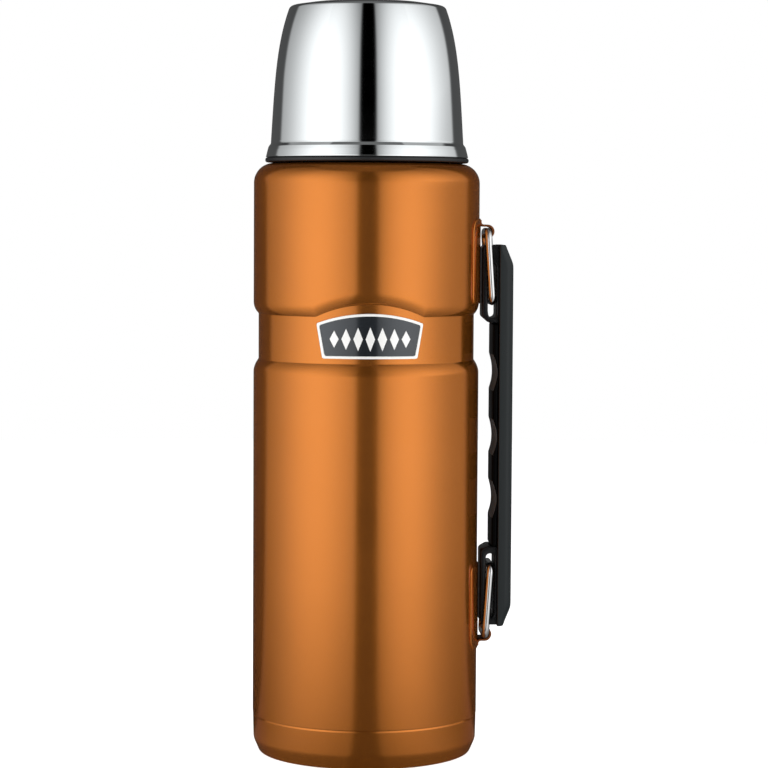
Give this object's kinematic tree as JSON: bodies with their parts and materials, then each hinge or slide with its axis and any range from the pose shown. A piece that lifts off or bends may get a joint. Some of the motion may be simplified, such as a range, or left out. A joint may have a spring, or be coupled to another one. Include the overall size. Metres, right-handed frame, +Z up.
{
  "type": "insulated growler",
  "caption": "Tall double-wall vacuum flask with a screw-on drinking cup, an insulated screw stopper and a fold-out side handle hung on wire rings.",
  "frame": {"origin": "on the flask's axis, in the plane of the standing ring under the base", "axes": "+Z up the flask's axis to the cup; +X from the axis to the folding handle; -Y is the side with the badge"},
  "size_m": [0.108, 0.0942, 0.3137],
  "materials": {
    "orange_lacquer": "satin-gloss translucent copper-orange lacquer over metal",
    "orange_bracket": "satin copper-orange lacquer over pressed sheet",
    "polished_steel": "mirror-polished stainless steel",
    "polished_wire": "polished stainless wire",
    "raw_steel": "satin stainless steel",
    "brushed_steel": "turned stainless disc",
    "screw_steel": "plain steel",
    "solder": "dull solder",
    "foil": "bright copper-coloured foil",
    "getter": "dull sintered metal",
    "badge_field": "satin charcoal enamel",
    "badge_rim": "bright nickel rim",
    "stopper_plastic": "moulded black polypropylene",
    "liner_plastic": "moulded dark polypropylene",
    "ring_plastic": "black satin plastic",
    "silicone": "grey silicone",
    "foam": "rigid insulating foam",
    "core_plastic": "near-black fine-textured plastic",
    "cover_plastic": "dark grey fine-textured plastic",
    "grip_rubber": "soft black over-moulding"
  },
  "bodies": {
    "flask": {"outer_shell": "orange_lacquer", "base_cap": "orange_lacquer", "vacuum_seal": "solder", "port_cover": "brushed_steel", "inner_vessel": "raw_steel", "radiation_shield": "foil", "getter": "getter", "badge_plate": "badge_field", "badge_border": "badge_rim", "upper_bracket": "orange_bracket", "lower_bracket": "orange_bracket"},
    "plug_seal": {"stopper_seal": "silicone"},
    "stopper": {"stopper_body": "stopper_plastic", "stopper_o_ring": "silicone", "stopper_base": "stopper_plastic", "stopper_insulation": "foam", "stopper_knob": "stopper_plastic"},
    "cup_ring": {"mouth_ring": "ring_plastic"},
    "cup": {"cup_outer": "polished_steel", "cup_liner": "liner_plastic"},
    "ring_high": {"upper_ring": "polished_wire"},
    "ring_low": {"lower_ring": "polished_wire"},
    "grip": {"handle_core": "core_plastic", "handle_cover": "cover_plastic", "finger_grip": "grip_rubber", "handle_screws": "screw_steel"}
  },
  "joints": [
    {"name": "stopper_lift", "type": "slide", "parent": "flask", "child": "plug_seal", "axis": [0, 0, 1], "range_m": [0, 0.035]},
    {"name": "stopper_turn", "type": "hinge", "parent": "plug_seal", "child": "stopper", "pos_m": [0, 0, 0.24], "axis": [0, 0, 1], "range_deg": [0, 540]},
    {"name": "cup_lift", "type": "slide", "parent": "stopper", "child": "cup_ring", "axis": [0, 0, 1], "range_m": [0, 0.045]},
    {"name": "cup_turn", "type": "hinge", "parent": "cup_ring", "child": "cup", "pos_m": [0, 0, 0.25], "axis": [0, 0, 1], "range_deg": [0, 450]},
    {"name": "upper_ring_swing", "type": "hinge", "parent": "flask", "child": "ring_high", "pos_m": [0.0502, 0, 0.2186], "axis": [0, -1, 0], "range_deg": [0, 45]},
    {"name": "grip_pivot", "type": "hinge", "parent": "ring_high", "child": "grip", "pos_m": [0.05219, 0, 0.18947], "axis": [0, -1, 0], "range_deg": [-45, 0]},
    {"name": "lower_ring_swing", "type": "hinge", "parent": "flask", "child": "ring_low", "pos_m": [0.0502, 0, 0.0496], "axis": [0, 1, 0], "range_deg": [0, 45]}
  ],
  "couplings": [
    {"joint": "grip_pivot", "follows": "upper_ring_swing", "ratio": -1},
    {"joint": "lower_ring_swing", "follows": "upper_ring_swing", "ratio": 1}
  ]
}
